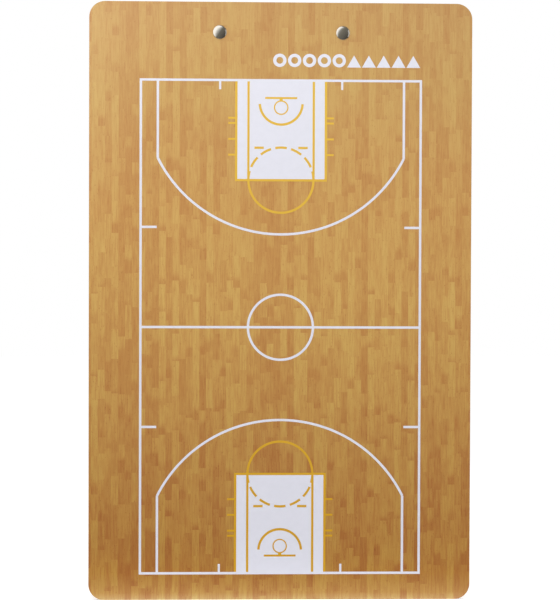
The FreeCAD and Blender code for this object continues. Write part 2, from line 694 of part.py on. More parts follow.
def torsion_spring(doc, size, name, side):
    """One unbroken wire: a leg on the base plate, the coil around the pin and a leg under the thumb tab."""
    path = spring_path(size, side)
    steps = math.ceil((path.first - path.last) / math.radians(QUARTER_TURN))
    angles = [path.first + (path.last - path.first) * i / steps for i in range(steps + 1)]
    stations = [path.at(angle) for angle in angles]
    start, start_direction = stations[0]
    end, end_direction = stations[-1]
    tail = start - start_direction * path.leg
    edges = [Part.LineSegment(tail, start).toShape()]
    tightest = path.leg
    for (point, along), (next_point, onward) in zip(stations, stations[1:]):
        pair, radius = biarc(point, along, next_point, onward)
        edges.extend(pair)
        tightest = min(tightest, radius)
    edges.append(Part.LineSegment(end, end + end_direction * path.leg).toShape())
    section = Part.Wire([Part.Circle(tail, start_direction, path.wire / 2).toShape()])
    pipe = Part.BRepOffsetAPI.MakePipeShell(Part.Wire(edges))
    pipe.add(section)
    pipe.build()
    pipe.makeSolid()
    spring = doc.addObject("Part::Feature", name)
    spring.Label = name
    spring.Shape = pipe.shape()
    spring.setExpression("Placement.Base.y", size.pin_out.formula)
    spring.setExpression("Placement.Base.z", size.pin_line.formula)
    gap = least_gap(path, tail, end + end_direction * path.leg)
    print(f"{name}: least gap to itself {gap:.2f} mm, tightest arc {tightest:.2f} mm")
    if gap <= LEAST_COIL_GAP or tightest <= path.wire:
        raise RuntimeError(f"{name} is wound too tightly")
    return spring


def least_gap(path, tail, tip):
    """The least clear distance between stretches of the wire that lie half a turn or more apart."""
    step = 2 * math.pi / GAP_SAMPLES_PER_TURN
    count = int((path.first - path.last) / step)
    coil = [path.at(path.first - step * i)[0] for i in range(count + 1)]
    start, end = coil[0], path.at(path.last)[0]
    share = [i / GAP_SAMPLES_PER_TURN for i in range(GAP_SAMPLES_PER_TURN)]
    before = [tail + (start - tail) * s for s in share]
    after = [end + (tip - end) * s for s in share]
    half = GAP_SAMPLES_PER_TURN // 2
    pairs = [(p, q) for i, p in enumerate(coil) for q in coil[i + half:]]
    pairs += [(p, q) for p in before for q in coil[half:]]
    pairs += [(p, q) for p in after for q in coil[:-half]]
    return min(p.distanceToPoint(q) for p, q in pairs) - path.wire


def build(doc):
    """Make every piece, in the order in which the board is put together."""
    size = derive(fill_sheet(doc))
    core_back = size.core_thickness / 2
    half_pitch = size.rivet_pitch / 2
    return [
        board_layer(doc, size, "board_core", size.core_thickness, core_back),
        board_layer(doc, size, "full_court_film", size.film_thickness, -core_back),
        board_layer(doc, size, "half_court_film", size.film_thickness, size.face),
        rivet(doc, size, "rivet_left", -half_pitch),
        rivet(doc, size, "rivet_right", half_pitch),
        clip_base_plate(doc, size),
        hinge_pin(doc, size),
        torsion_spring(doc, size, "torsion_spring_left", -1),
        torsion_spring(doc, size, "torsion_spring_right", 1),
        clip_lever(doc, size),
        jaw_grip(doc, size, "jaw_grip_left", -1),
        jaw_grip(doc, size, "jaw_grip_right", 1),
    ]


def check(doc, pieces):
    """Stop if any object failed, or if a piece isn't one sound solid."""
    failed = [o.Name for o in doc.Objects if "Invalid" in o.State or "Error" in o.State]
    sound = [p for p in pieces if not p.Shape.isNull() and p.Shape.isValid() and len(p.Shape.Solids) == 1]
    unsound = [p.Label for p in pieces if p not in sound]
    if failed or unsound:
        raise RuntimeError(f"failed objects {failed}, unsound pieces {unsound}")


def main():
    doc = FreeCAD.newDocument("TacticsBoard")
    pieces = build(doc)
    doc.recompute()
    check(doc, pieces)
    os.makedirs("parts", exist_ok=True)
    for piece in pieces:
        piece.Shape.exportStep(f"parts/{piece.Label}.step")
        print(f"{piece.Label}: {piece.Shape.Volume:.1f} mm3")


main()
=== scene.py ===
"""The looks of a coach's tactics board: printed courts, sprung steel clip, rivets and a white studio."""
import logging
import math
from dataclasses import dataclass, field
from enum import Enum
from typing import Any, Iterable

import bmesh
import bpy
from bmesh.types import BMesh, BMFace, BMVert
from bpy.types import Material, Node, NodeSocket, NodeTree, Object
from mathutils import Matrix, Vector


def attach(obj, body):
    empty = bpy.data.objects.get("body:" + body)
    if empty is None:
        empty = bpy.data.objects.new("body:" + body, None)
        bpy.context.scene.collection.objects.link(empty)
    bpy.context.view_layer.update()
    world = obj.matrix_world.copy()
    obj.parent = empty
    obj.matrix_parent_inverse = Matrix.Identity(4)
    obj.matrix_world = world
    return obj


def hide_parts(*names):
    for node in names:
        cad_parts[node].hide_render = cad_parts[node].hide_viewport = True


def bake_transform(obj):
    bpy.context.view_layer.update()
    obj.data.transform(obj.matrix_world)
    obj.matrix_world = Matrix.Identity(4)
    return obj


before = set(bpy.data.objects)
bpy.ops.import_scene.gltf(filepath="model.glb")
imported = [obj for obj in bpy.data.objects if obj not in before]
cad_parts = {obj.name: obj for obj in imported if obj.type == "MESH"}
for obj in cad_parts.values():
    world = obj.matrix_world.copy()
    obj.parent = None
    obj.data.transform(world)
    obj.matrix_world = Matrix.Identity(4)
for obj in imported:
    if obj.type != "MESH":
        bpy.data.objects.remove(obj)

log = logging.getLogger("tactics_board")

MM = 0.001
PHOTO_HEIGHT = 600
WHITE = "#FFFFFF"

# The board's height, and how far its two printed faces stand from its middle, in millimetres.
BOARD_HEIGHT = 350.0
BOARD_FACE = 1.75

# The gloss that the polyester gives to the film and to the ink on it.
GLOSS = {"Roughness": 0.3, "IOR": 1.5}

# Two numbers that belong together, such as a place on a face, a range, or a width and a height.
Pair = tuple[float, float]
# A point or a stretch in metres.
Place = tuple[float, float, float]
# The range that is read, and the range that it is turned into.
Span = tuple[float, float, float, float]
# Colours at places on a scale from 0 to 1.
Tones = tuple[tuple[float, str], ...]


class Body(Enum):
    """The two rigid bodies of the board."""

    BOARD = "board"
    LEVER = "lever"


class Side(Enum):
    """The side of the board that a face looks to, as the sign of its Y."""

    FULL_COURT = -1
    HALF_COURT = 1


def linear(colour: str) -> tuple[float, float, float, float]:
    """Turn a colour as it is seen on a screen into linear light.

    Args:
        colour: Six hexadecimal digits after a hash.

    Returns:
        Red, green, blue and a full alpha.
    """
    parts = [int(colour[i:i + 2], 16) / 255 for i in (1, 3, 5)]
    light = [c / 12.92 if c <= 0.04045 else ((c + 0.055) / 1.055) ** 2.4 for c in parts]
    return light[0], light[1], light[2], 1.0


def add(
    tree: NodeTree,
    kind: str,
    inputs: dict[Any, Any] | None = None,
    stops: Iterable[tuple[float, str]] = (),
    span: Iterable[float] = (),
    **settings: Any,
) -> Node:
    """Add one node with its settings, values and links.

    Args:
        tree: The node tree that gets it.
        kind: The node's type name.
        inputs: What each input gets, by name or number: a value, an output or a node's first output.
        stops: Places and colours, for a node with a colour ramp.
        span: The range that is read and the one that is given, for a node that maps one to the other.
        **settings: Values of the node's own properties.

    Returns:
        The new node.
    """
    node = tree.nodes.new(kind)
    for name, value in settings.items():
        setattr(node, name, value)
    for key, value in [*(inputs or {}).items(), *enumerate(span, 1)]:
        if isinstance(value, (Node, NodeSocket)):
            tree.links.new(value.outputs[0] if isinstance(value, Node) else value, node.inputs[key])
        else:
            node.inputs[key].default_value = value
    for i, (place, colour) in enumerate(stops):
        ramp = node.color_ramp.elements
        stop = ramp[i] if i < len(ramp) else ramp.new(place)
        stop.position = place
        stop.color = linear(colour)
    return node


@dataclass(frozen=True)
class Flecks:
    """Two tones that run into each other in soft flecks, as fibres, pores and streaks do."""

    tones: Tones
    detail: float = 2.0
    roughness: float = 0.5

    def lay(self, tree: NodeTree, place: Node | NodeSocket, size: float = 1.0) -> tuple[Node, Node]:
        """Spread the flecks over a surface.

        Args:
            tree: The material's node tree.
            place: The space that they lie in.
            size: A fleck's size in that space.

        Returns:
            The nodes that give their colour, and their height for a relief.
        """
        height = add(
            tree,
            "ShaderNodeTexNoise",
            {"Vector": place, "Scale": 1 / size, "Detail": self.detail, "Roughness": self.roughness},
        )
        return add(tree, "ShaderNodeValToRGB", {0: height}, self.tones), height


@dataclass(frozen=True)
class Finish:
    """A material made of nodes on Object coordinates."""

    name: str

    def material(self) -> Material:
        """Make the material, or give back the one already made.

        Returns:
            The material of this finish's name.
        """
        found = bpy.data.materials.get(self.name)
        if found:
            return found
        made = bpy.data.materials.new(self.name)
        made.use_nodes = True
        made.node_tree.nodes.clear()
        add(made.node_tree, "ShaderNodeOutputMaterial", {"Surface": self.surface(made.node_tree)})
        return made

    def surface(self, tree: NodeTree) -> Node:
        """Build the shader's nodes in a tree and return the shader."""
        raise NotImplementedError

    @staticmethod
    def place(tree: NodeTree) -> NodeSocket:
        """Return the place on the piece, in metres."""
        return add(tree, "ShaderNodeTexCoord").outputs["Object"]

    def level(self, tree: NodeTree) -> Node:
        """Return the height on the board, from 0 at its foot to 1 at its head."""
        up = add(tree, "ShaderNodeSeparateXYZ", {0: self.place(tree)}).outputs["Z"]
        return add(tree, "ShaderNodeMath", {0: up, 1: BOARD_HEIGHT * MM}, operation="DIVIDE")


@dataclass(frozen=True)
class CourtFilm(Finish):
    """Glossy polyester film with a maple strip floor printed on its back, in millimetres."""

    # The print shows narrow strips of differing lengths, each of its own tone, often darker at the lower
    # end, with soft clouds, a fine grain and a few pores along them. Strips in one column lean to one
    # tone. The whole sheet grows lighter and its strips fainter towards the top; the lightening is
    # partly the print and partly painted light falling off from the lamp above. A pale band in the last
    # few millimetres at the foot is painted light from the floor. The film gives it an even gloss.
    strip: float = 3.95
    strip_length: float = 17.0
    strip_tones: Tones = (
        (0.0, "#EBD0CC"),
        (0.25, "#F3E3E1"),
        (0.5, "#FAF1F0"),
        (0.75, "#FDFAFA"),
        (1.0, WHITE),
    )
    # How much of a strip's tone comes from its column and how much from the strip itself.
    column_share: float = 0.65
    own_share: float = 0.72
    # Shifts that keep columns and strips from running alike.
    column_shift: float = 97.0
    strip_shift: float = 31.0
    # The darkening below a strip's middle, and which of the strips' lots have none of it or all of it.
    lower_end: Span = (-0.12, -0.5, 0.0, 0.9)
    ended: Pair = (0.35, 0.95)
    cloud: Span = (0.25, 0.75, -0.2, 0.2)
    cloud_length: float = 9.0
    grain: float = 0.75
    grain_length: float = 11.0
    grain_tones: Flecks = Flecks(((0.3, "#EFD8D3"), (0.6, WHITE)), 3.0, 0.6)
    pore: float = 1.3
    pore_tones: Flecks = Flecks(((0.62, WHITE), (0.76, "#E6CAC3")))
    # Colours up the sheet from foot to head, partly print and partly painted light: the rise towards the
    # top is partly painted lamp falloff, and the first stop is a painted pale glow from the floor.
    fade_with_painted_light: Tones = (
        (0.0, "#C5A968"),
        (0.012, "#BB9446"),
        (0.045, "#BC8D3B"),
        (0.5, "#D5AE5F"),
        (0.66, "#D4AA60"),
        (0.76, "#D2A962"),
        (0.85, "#D1AC66"),
        (1.0, "#CCA666"),
    )
    strength: Span = (0.1, 0.9, 1.0, 0.56)

    def strip_tone(self, tree: NodeTree, spot: Node) -> tuple[Node, Node]:
        """Lay the strips in columns, and give each one its tone.

        Args:
            tree: The material's node tree.
            spot: The node that gives the place's X and Z.

        Returns:
            The nodes that give the tone to multiply by, and a number of the strip's own.
        """
        right, up = spot.outputs["X"], spot.outputs["Z"]
        across = add(tree, "ShaderNodeMath", {0: right, 1: self.strip * MM}, operation="DIVIDE")
        column = add(tree, "ShaderNodeMath", {0: across}, operation="FLOOR")
        lot = add(tree, "ShaderNodeTexWhiteNoise", {"W": column}, noise_dimensions="1D")
        start = add(tree, "ShaderNodeMath", {0: lot, 1: self.column_shift}, operation="MULTIPLY")
        run = add(
            tree,
            "ShaderNodeMath",
            {0: up, 1: 1 / (self.strip_length * MM), 2: start},
            operation="MULTIPLY_ADD",
        )
        strips = add(tree, "ShaderNodeTexVoronoi", {"W": run, "Scale": 1.0}, voronoi_dimensions="1D")
        chance = add(tree, "ShaderNodeSeparateColor", {0: strips.outputs["Color"]})
        own = add(
            tree, "ShaderNodeMath", {0: chance.outputs[1], 1: self.strip_shift}, operation="MULTIPLY"
        )
        offset = add(tree, "ShaderNodeMath", {0: run, 1: strips.outputs["W"]}, operation="SUBTRACT")
        end = add(
            tree,
            "ShaderNodeMapRange",
            {0: offset},
            span=self.lower_end,
            interpolation_type="SMOOTHSTEP",
        )
        some = add(tree, "ShaderNodeMapRange", {0: chance.outputs[2]}, span=self.ended)
        ended = add(tree, "ShaderNodeMath", {0: end, 1: some}, operation="MULTIPLY")
        space = self.along(tree, spot, own, self.strip, self.cloud_length)
        drift = add(tree, "ShaderNodeTexNoise", {"Vector": space, "Scale": 1.0})
        cloud = add(tree, "ShaderNodeMapRange", {0: drift}, span=self.cloud)
        spare = (1.0 - self.own_share - self.column_share) / 2
        lean = add(
            tree, "ShaderNodeMath", {0: lot, 1: self.column_share, 2: spare}, operation="MULTIPLY_ADD"
        )
        leaning = add(
            tree, "ShaderNodeMath", {0: chance, 1: self.own_share, 2: lean}, operation="MULTIPLY_ADD"
        )
        clouded = add(tree, "ShaderNodeMath", {0: leaning, 1: cloud}, operation="ADD")
        place = add(tree, "ShaderNodeMath", {0: clouded, 1: ended}, operation="SUBTRACT")
        return add(tree, "ShaderNodeValToRGB", {0: place}, self.strip_tones), own

    @staticmethod
    def along(tree: NodeTree, spot: Node, own: Node, width: float, length: float) -> Node:
        """Stretch a pattern's space along the strips.

        Args:
            tree: The material's node tree.
            spot: The node that gives the place's X and Z.
            own: The strip's own number, which shifts the pattern.
            width: The pattern's width in millimetres.
            length: The pattern's length in millimetres.

        Returns:
            The node that gives the stretched place.
        """
        across = add(tree, "ShaderNodeMath", {0: spot.outputs["X"], 1: width * MM}, operation="DIVIDE")
        down = add(tree, "ShaderNodeMath", {0: spot.outputs["Z"], 1: length * MM}, operation="DIVIDE")
        return add(tree, "ShaderNodeCombineXYZ", {0: across, 1: own, 2: down})

    def surface(self, tree: NodeTree) -> Node:
        """Build the strips, their grain and pores, and the gloss over them.

        Args:
            tree: The material's node tree.

        Returns:
            The shader.
        """
        spot = add(tree, "ShaderNodeSeparateXYZ", {0: self.place(tree)})
        tone, own = self.strip_tone(tree, spot)
        lengthwise = self.along(tree, spot, own, self.grain, self.grain_length)
        fibres, _ = self.grain_tones.lay(tree, lengthwise)
        pores, _ = self.pore_tones.lay(tree, self.along(tree, spot, own, self.pore / 2, self.pore))
        level = self.level(tree)
        depth = add(tree, "ShaderNodeMapRange", {0: level}, span=self.strength)
        # The base colour by height carries painted light: lighter towards the top, paler at the very
        # foot.
        colour = add(tree, "ShaderNodeValToRGB", {0: level}, self.fade_with_painted_light)
        for layer in (tone, fibres, pores):
            colour = add(
                tree,
                "ShaderNodeMix",
                {"Factor": depth, 6: colour, 7: layer},
                data_type="RGBA",
                blend_type="MULTIPLY",
            ).outputs[2]
        return add(tree, "ShaderNodeBsdfPrincipled", {"Base Color": colour, **GLOSS})


@dataclass(frozen=True)
class PrintInk(Finish):
    """Solid ink under the same gloss as the film, in millimetres."""

    # A solid of ink is even, with a slight change of density that only shows from close by. The gold
    # darkens towards the foot of the sheet, which is painted shade of the light falling off there.
    head: str
    foot: str
    head_level: float = 0.8
    foot_level: float = 0.1
    density: Flecks = Flecks(((0.35, "#FDFDFD"), (0.6, WHITE)), 3.0)
    mottle: float = 3.0

    def surface(self, tree: NodeTree) -> Node:
        """Build the ink's painted shade towards the foot and its slight change of density.

        Args:
            tree: The material's node tree.

        Returns:
            The shader.
        """
        density, _ = self.density.lay(tree, self.place(tree), self.mottle * MM)
        ends = ((self.foot_level, self.foot), (self.head_level, self.head))
        # Painted shade: the ink's colour darkens from its head level down to its foot level.
        depth = add(tree, "ShaderNodeValToRGB", {0: self.level(tree)}, ends)
        colour = add(
            tree,
            "ShaderNodeMix",
            {"Factor": 1.0, 6: depth, 7: density},
            data_type="RGBA",
            blend_type="MULTIPLY",
        )
        return add(tree, "ShaderNodeBsdfPrincipled", {"Base Color": colour.outputs[2], **GLOSS})


@dataclass(frozen=True)
class Hardboard(Finish):
    """Pressed wood fibre with a sawn edge, in millimetres."""

    # Sawn fibreboard is dull brown, with short darker and lighter fibres that lie in its plane.
    fibre: float = 0.25
    fibre_length: float = 1.8
    fibre_tones: Flecks = Flecks(((0.3, "#6E4A2C"), (0.7, "#9A7248")), 4.0)
    nap: float = 0.05

    def surface(self, tree: NodeTree) -> Node:
        """Build the fibres.

        Args:
            tree: The material's node tree.

        Returns:
            The shader.
        """
        flat, through = 1 / (self.fibre_length * MM), 1 / (self.fibre * MM)
        laid = add(
            tree, "ShaderNodeMapping", {"Vector": self.place(tree), "Scale": (flat, through, flat)}
        )
        tone, height = self.fibre_tones.lay(tree, laid)
        rough = add(
            tree, "ShaderNodeBump", {"Height": height, "Strength": 0.4, "Distance": self.nap * MM}
        )
        return add(
            tree,
            "ShaderNodeBsdfPrincipled",
            {"Base Color": tone, "Roughness": 0.85, "Normal": rough},
        )


@dataclass(frozen=True)
class NickelPlate(Finish):
    """Bright nickel over stamped steel, in millimetres."""

    # Bright nickel is a warm silver mirror, a little clouded where hands and tools have rubbed it, with
    # faint lines from the rolled sheet under it. They are drawn wider apart than real ones, to show.
    colour: str = "#C9C4B9"
    cloud: float = 2.5
    rubbing: Span = (0.35, 0.7, 0.13, 0.22)
    line: float = 0.35
    line_length: float = 30.0
    line_depth: float = 0.002

    def surface(self, tree: NodeTree) -> Node:
        """Build the mirror, its rubbed clouds and its rolled lines.

        Args:
            tree: The material's node tree.

        Returns:
            The shader.
        """
        clouds = add(
            tree,
            "ShaderNodeTexNoise",
            {"Vector": self.place(tree), "Scale": 1 / (self.cloud * MM), "Detail": 4.0},
        )
        rubbed = add(tree, "ShaderNodeMapRange", {0: clouds}, span=self.rubbing)
        along, across = 1 / (self.line_length * MM), 1 / (self.line * MM)
        rolled = add(
            tree, "ShaderNodeMapping", {"Vector": self.place(tree), "Scale": (along, across, across)}
        )
        lines = add(tree, "ShaderNodeTexNoise", {"Vector": rolled, "Scale": 1.0, "Detail": 2.0})
        relief = add(
            tree,
            "ShaderNodeBump",
            {"Height": lines, "Strength": 0.6, "Distance": self.line_depth * MM},
        )
        return add(
            tree,
            "ShaderNodeBsdfPrincipled",
            {
                "Base Color": linear(self.colour),
                "Metallic": 1.0,
                "Roughness": rubbed,
                "Normal": relief,
            },
        )


@dataclass(frozen=True)
class SpringSteel(Finish):
    """Drawn spring wire with a thin film of oil, in millimetres."""

    # Drawn wire is darker than plate, with streaks from the die, drawn coarse enough here to show.
    streak: float = 0.3
    streak_tones: Flecks = Flecks(((0.35, "#6F6D6A"), (0.65, "#A5A29C")))

    def surface(self, tree: NodeTree) -> Node:
        """Build the streaks.

        Args:
            tree: The material's node tree.

        Returns:
            The shader.
        """
        tone, _ = self.streak_tones.lay(tree, self.place(tree), self.streak * MM)
        return add(
            tree,
            "ShaderNodeBsdfPrincipled",
            {"Base Color": tone, "Metallic": 1.0, "Roughness": 0.32},
        )


@dataclass(frozen=True)
class GripRubber(Finish):
    """Moulded black rubber, in millimetres."""

    # Moulded rubber is a soft black with a fine dull pebble from its mould.
    pebble: float = 0.5
    pebble_depth: float = 0.04
    pebble_tones: Flecks = Flecks(((0.3, "#161616"), (0.7, "#262525")))

    def surface(self, tree: NodeTree) -> Node:
        """Build the pebbled skin.

        Args:
            tree: The material's node tree.

        Returns:
            The shader.
        """
        tone, height = self.pebble_tones.lay(tree, self.place(tree), self.pebble * MM)
        pebbled = add(
            tree,
            "ShaderNodeBump",
            {"Height": height, "Strength": 0.35, "Distance": self.pebble_depth * MM},
        )
        return add(
            tree,
            "ShaderNodeBsdfPrincipled",
            {"Base Color": tone, "Roughness": 0.7, "Normal": pebbled},
        )


@dataclass(frozen=True)
class StudioPaper(Finish):
    """White seamless paper for the floor."""

    # Matt white paper, lifted to plain white for the eye and for mirrors, which still takes a shadow.
    colour: str = "#E6E6E6"
    lift: float = 0.42

    def surface(self, tree: NodeTree) -> Node:
        """Build the paper and its lift.

        Args:
            tree: The material's node tree.

        Returns:
            The shader.
        """
        rays = add(tree, "ShaderNodeLightPath")
        eye = rays.outputs["Is Camera Ray"]
        for name in ("Is Glossy Ray", "Is Transmission Ray"):
            eye = add(tree, "ShaderNodeMath", {0: eye, 1: rays.outputs[name]}, operation="MAXIMUM")
        lifted = add(tree, "ShaderNodeMath", {0: eye, 1: self.lift}, operation="MULTIPLY")
        return add(
            tree,
            "ShaderNodeBsdfPrincipled",
            {
                "Base Color": linear(self.colour),
                "Roughness": 0.9,
                "Specular IOR Level": 0.0,
                "Emission Color": linear(WHITE),
                "Emission Strength": lifted,
            },
        )


@dataclass(frozen=True)
class GlowingCard(Finish):
    """White card with lamps on it."""

    # A card as a mirror or a near surface sees it. Its light may fade in from its first edge.
    glow: float
    soft: float = 0.001
    start: float = 0.25

    def surface(self, tree: NodeTree) -> Node:
        """Build the glow.

        Args:
            tree: The material's node tree.

        Returns:
            The shader.
        """
        spot = add(tree, "ShaderNodeSeparateXYZ", {0: add(tree, "ShaderNodeTexCoord").outputs["UV"]})
        rise = add(
            tree,
            "ShaderNodeMapRange",
            {0: spot.outputs["Y"]},
            span=(0.0, self.soft, self.start * self.glow, self.glow),
            interpolation_type="SMOOTHSTEP",
        )
        return add(tree, "ShaderNodeEmission", {"Color": linear(WHITE), "Strength": rise})


FILM = CourtFilm("printed polyester film")
WHITE_INK = PrintInk("white screen ink", "#E7E7F1", "#E7E8F4")
# The gold's darker foot colour is painted shade.
GOLD_INK = PrintInk("gold screen ink", "#E8BD44", "#D8A40D")
HARDBOARD = Hardboard("sawn hardboard")
NICKEL = NickelPlate("bright nickel plate")
WIRE = SpringSteel("drawn spring steel")
RUBBER = GripRubber("moulded black rubber")
PAPER = StudioPaper("white seamless paper")


def set_down(name: str, mesh: BMesh, finish: Finish) -> Object:
    """Turn a finished bmesh into an object at the origin, with its finish.

    Args:
        name: The object's name.
        mesh: The shape, in the board's frame. It is freed.
        finish: The material to give it.

    Returns:
        The new object.
    """
    data = bpy.data.meshes.new(name)
    mesh.to_mesh(data)
    mesh.free()
    data.materials.append(finish.material())
    made = bpy.data.objects.new(name, data)
    bpy.context.scene.collection.objects.link(made)
    return made


def piece(name: str, mesh: BMesh, finish: Finish, smooth: float = 35.0) -> Object:
    """Make a piece of the board, with smooth faces between its sharp edges.

    Args:
        name: The piece's name.
        mesh: The shape, in the board's frame. It is freed.
        finish: The material to give it.
        smooth: The angle, in degrees, above which an edge stays sharp.

    Returns:
        The new object.
    """
    made = set_down(name, mesh, finish)
    made.data.shade_smooth()
    made.data.set_sharp_from_angle(angle=math.radians(smooth))
    log.info("%s: %d faces", name, len(made.data.polygons))
    return made


@dataclass
class Ink:
    """A layer of ink on one face of the board, in millimetres.

    Reaches are counted up the board from the baseline.
    """

    side: Side
    thick: float
    baseline: float = 0.0
    scale: float = 1.0
    face: float = BOARD_FACE
    arc_lift: float = 0.0
    arc_step: float = 2.0
    least_steps: int = 4
    mesh: BMesh = field(default_factory=bmesh.new)

    def bar(self, low: Pair, high: Pair) -> None:
        """Lay a straight-sided patch.

        Args:
            low: Its lowest place across the board and its lowest reach.
            high: Its highest place across the board and its highest reach.
        """
        size = [(b - a) * self.scale for a, b in zip(low, high)]
        middle = [(a + b) / 2 * self.scale for a, b in zip(low, high)]
        out = self.side.value * (self.face + self.thick / 2)
        move = Matrix.Translation(Vector((middle[0], out, self.baseline + middle[1])) * MM)
        stretch = Matrix.Diagonal((size[0] * MM, self.thick * MM, size[1] * MM, 1.0))
        bmesh.ops.create_cube(self.mesh, size=1.0, matrix=move @ stretch)

    def both_sides(self, low: Pair, high: Pair) -> None:
        """Lay a patch and its mirror image across the board."""
        self.bar(low, high)
        self.bar((-high[0], low[1]), (-low[0], high[1]))

    def band(
        self,
        reach: float,
        radius: float,
        line: float,
        middle: float = 0.0,
        half: float = 180.0,
        across: float = 0.0,
    ) -> None:
        """Lay an arc, or a ring.

        Args:
            reach: The centre's reach.
            radius: The radius of the arc's middle.
            line: The arc's width.
            middle: The direction of the arc's middle, in degrees from straight up.
            half: How far the arc goes each way from there, in degrees. A full turn is closed.
            across: The centre's place across the board.
        """
        closed = half >= 180.0
        first = math.radians(middle - half)
        centre = Vector((across, 0.0, self.baseline + reach * self.scale))
        inner, outer = ((radius + edge * line / 2) * self.scale for edge in (-1, 1))
        near = self.side.value * self.face
        far = self.side.value * (self.face + self.thick + self.arc_lift)
        section = [
            self.mesh.verts.new((centre + Vector((r * math.sin(first), out, r * math.cos(first)))) * MM)
            for r, out in ((inner, near), (outer, near), (outer, far), (inner, far))
        ]
        edges = [self.mesh.edges.new(pair) for pair in zip(section, section[1:] + section[:1])]
        bmesh.ops.spin(
            self.mesh,
            geom=section + edges if closed else [*section, *edges, self.mesh.faces.new(section)],
            cent=centre * MM,
            axis=(0.0, 1.0, 0.0),
            angle=math.radians(2 * half),
            steps=max(self.least_steps, round(2 * half / self.arc_step)),
            use_merge=closed,
        )

    def mirror(self, reach: float) -> None:
        """Repeat everything beyond a reach, as its mirror image."""
        middle = Vector((0.0, 0.0, self.baseline + reach * self.scale)) * MM
        bmesh.ops.mirror(
            self.mesh,
            geom=[*self.mesh.verts, *self.mesh.edges, *self.mesh.faces],
            matrix=Matrix.Translation(-middle),
            merge_dist=-1.0,
            axis="Z",
        )

    def press(self, name: str, finish: PrintInk) -> None:
        """Make the ink a piece that rides on the board."""
        bmesh.ops.recalc_face_normals(self.mesh, faces=self.mesh.faces)
        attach(piece(name, self.mesh, finish), Body.BOARD.value)


@dataclass
class CourtPrint:
    """The lines of a court printed on one face of the board, in millimetres.

    Reaches are counted from the baseline towards the middle of the court, and the court at the lower
    end of the board is drawn first. The other end is its mirror image.
    """

    name: str
    side: Side
    baseline: float
    scale: float = 1.0
    whole: bool = True
    half_width: float = 81.9
    half_length: float = 144.4
    line: float = 1.4
    centre_circle: float = 19.05
    corner_line: float = 72.0
    arc_radius: float = 80.5
    arc_centre: float = 9.5
    side_mark_reach: float = 85.9
    side_mark: float = 9.35
    base_mark_across: float = 35.7
    base_mark: float = 5.4
    base_mark_line: float = 1.25
    lane_outer: float = 26.2
    lane_inner: float = 19.1
    lane_line: float = 1.35
    throw_line: float = 58.3
    throw_circle: float = 19.05
    dash_step: float = 28.1
    dash_half: float = 10.2
    dash_pairs: int = 3
    lane_marks: tuple[float, ...] = (22.0, 25.0, 34.3, 43.5)
    lane_mark: float = 4.7
    lane_mark_line: float = 1.15
    backboard: float = 18.7
    backboard_reach: float = 10.3
    neck: float = 1.9
    ring_reach: float = 15.9
    ring_radius: float = 3.9
    ring_line: float = 0.75
    charge_radius: float = 12.5
    charge_reach: float = 13.3
    charge_half: float = 87.5
    box_mark_reach: float = 39.4
    box_mark_near: float = 10.1
    box_mark_far: float = 15.6
    white_film: float = 0.03
    gold_film: float = 0.05
    # Arcs stand a little prouder than bars, so that no two skins of ink lie in one plane.
    arc_lift: float = 0.006

    def white_lines(self, ink: Ink) -> None:
        """Draw the white lines and the white lane.

        Args:
            ink: The ink to draw with.
        """
        half = self.line / 2
        inner, outer = self.half_width - half, self.half_width + half
        ink.bar((-outer, -half), (outer, half))
        ink.both_sides((inner, half), (outer, self.half_length))
        turn = math.degrees(math.asin(self.corner_line / self.arc_radius))
        straight = self.arc_centre + self.arc_radius * math.cos(math.radians(turn))
        ink.both_sides((self.corner_line - half, half), (self.corner_line + half, straight))
        ink.band(self.arc_centre, self.arc_radius, self.line, half=turn)
        ink.both_sides(
            (self.half_width - self.side_mark, self.side_mark_reach - half),
            (inner, self.side_mark_reach + half),
        )
        mark, place = self.base_mark_line / 2, self.base_mark_across
        ink.both_sides((place - mark, half), (place + mark, self.base_mark))
        ink.bar((-self.lane_outer, half), (self.lane_outer, self.throw_line))
        if self.whole:
            ink.mirror(self.half_length)
        ink.bar((-inner, self.half_length - half), (inner, self.half_length + half))
        circle = 180.0 if self.whole else 90.0
        ink.band(self.half_length, self.centre_circle, self.line, 180.0, circle)

    def gold_lines(self, ink: Ink) -> None:
        """Draw the gold lines of the lanes, the circles and the baskets.

        Args:
            ink: The ink to draw with.
        """
        half, start = self.lane_line / 2, self.line / 2
        low, top = self.throw_line - half, self.throw_line + half
        inner, outer = self.lane_outer - half, self.lane_outer + half
        ink.both_sides((inner, start), (outer, top))
        ink.both_sides((self.lane_inner - half, start), (self.lane_inner + half, low))
        ink.bar((-inner, low), (inner, top))
        thin = self.lane_mark_line / 2
        for reach in self.lane_marks:
            ink.both_sides((outer, reach - thin), (self.lane_outer + self.lane_mark, reach + thin))
        ink.band(self.throw_line, self.throw_circle, self.lane_line, half=90.0)
        for i in range(-self.dash_pairs, self.dash_pairs + 1):
            begin = max(i * self.dash_step - self.dash_half, -90.0)
            end = min(i * self.dash_step + self.dash_half, 90.0)
            middle = 180.0 + (begin + end) / 2
            ink.band(self.throw_line, self.throw_circle, self.lane_line, middle, (end - begin) / 2)
        ink.both_sides(
            (self.box_mark_near, self.box_mark_reach - half),
            (self.box_mark_far, self.box_mark_reach + half),
        )
        board, front = self.backboard / 2, self.backboard_reach + thin
        ink.bar((-board, self.backboard_reach - thin), (board, front))
        ink.bar((-self.neck / 2, front), (self.neck / 2, self.ring_reach - self.ring_radius))
        ink.band(self.ring_reach, self.ring_radius, self.ring_line)
        ink.band(self.charge_reach, self.charge_radius, self.line, half=self.charge_half)
        if self.whole:
            ink.mirror(self.half_length)

    def build(self) -> None:
        """Print the two inks of this face."""
        for colour, film, draw, finish in (
            ("white", self.white_film, self.white_lines, WHITE_INK),
            ("gold", self.gold_film, self.gold_lines, GOLD_INK),
        ):
            ink = Ink(self.side, film, self.baseline, self.scale, arc_lift=self.arc_lift)
            draw(ink)
            ink.press(f"{self.name}_{colour}_ink", finish)


